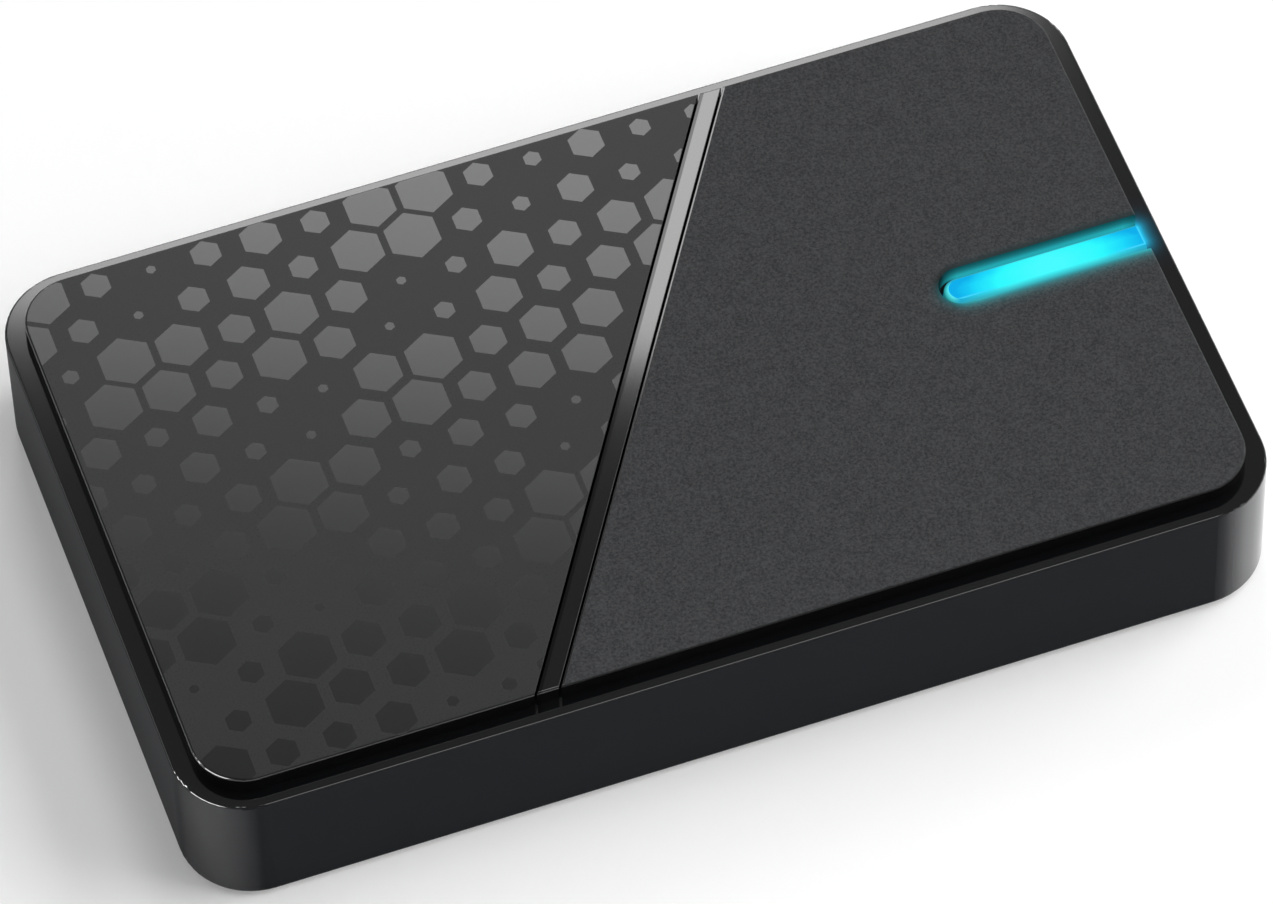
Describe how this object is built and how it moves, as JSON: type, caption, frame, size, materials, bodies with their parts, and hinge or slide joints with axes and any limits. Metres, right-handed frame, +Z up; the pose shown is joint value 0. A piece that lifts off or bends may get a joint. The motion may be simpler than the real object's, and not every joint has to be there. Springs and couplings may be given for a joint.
{
  "type": "video capture box",
  "caption": "Low rounded box that takes in a picture signal, passes it on and sends it to a computer, with a slanted strip between two top panels and a lit bar.",
  "frame": {"origin": "middle of the box on the surface that its feet stand on", "axes": "+X to the right along the long side, +Y to the back where the picture sockets are, +Z up"},
  "size_m": [0.1176, 0.071, 0.0178],
  "materials": {
    "satin_case": "satin black moulding with a polished ledge",
    "cover_plastic": "fine matt black moulding",
    "smooth_panel": "smooth dark grey with a tone-on-tone print",
    "grain_panel": "fine grained dark grey",
    "gloss_black": "polished black",
    "light_bar": "clear diffusing light pipe, lit cyan",
    "tape": "thin black adhesive sheet",
    "board": "green solder mask over glass fibre",
    "chip": "moulded black package",
    "plated_steel": "nickel plated sheet steel",
    "gold_contact": "thin gold plating",
    "socket_plastic": "heat resistant black plastic",
    "aluminium": "bare extruded",
    "thermal_pad": "soft grey-blue silicone",
    "lamp": "white lamp package",
    "ceramic": "fired brown ceramic",
    "ferrite": "pressed dark grey ferrite",
    "rubber": "soft black rubber"
  },
  "bodies": {
    "root": {"upper_case": "satin_case", "bottom_cover": "cover_plastic", "pattern_panel": "smooth_panel", "texture_panel": "grain_panel", "divider_strip": "gloss_black", "pattern_panel_tape": "tape", "texture_panel_tape": "tape", "light_pipe": "light_bar", "status_leds": "lamp", "main_board": "board", "capture_processor": "chip", "thermal_pad": "thermal_pad", "heat_sink": "aluminium", "memory_chips": "chip", "video_receiver_chip": "chip", "data_bridge_chip": "chip", "audio_codec_chip": "chip", "flash_chip": "chip", "clock_crystals": "plated_steel", "power_inductors": "ferrite", "bulk_capacitors": "aluminium", "ceramic_capacitors": "ceramic", "video_in_shell": "plated_steel", "video_in_insert": "socket_plastic", "video_in_contacts": "gold_contact", "video_out_shell": "plated_steel", "video_out_insert": "socket_plastic", "video_out_contacts": "gold_contact", "data_socket_shell": "plated_steel", "data_socket_insert": "socket_plastic", "data_socket_contacts": "gold_contact", "headset_jack_body": "socket_plastic", "headset_jack_contacts": "gold_contact", "line_jack_body": "socket_plastic", "line_jack_contacts": "gold_contact", "board_screws": "plated_steel", "case_screws": "plated_steel", "foot_front_left": "rubber", "foot_front_right": "rubber", "foot_back_left": "rubber", "foot_back_right": "rubber"}
  },
  "joints": []
}
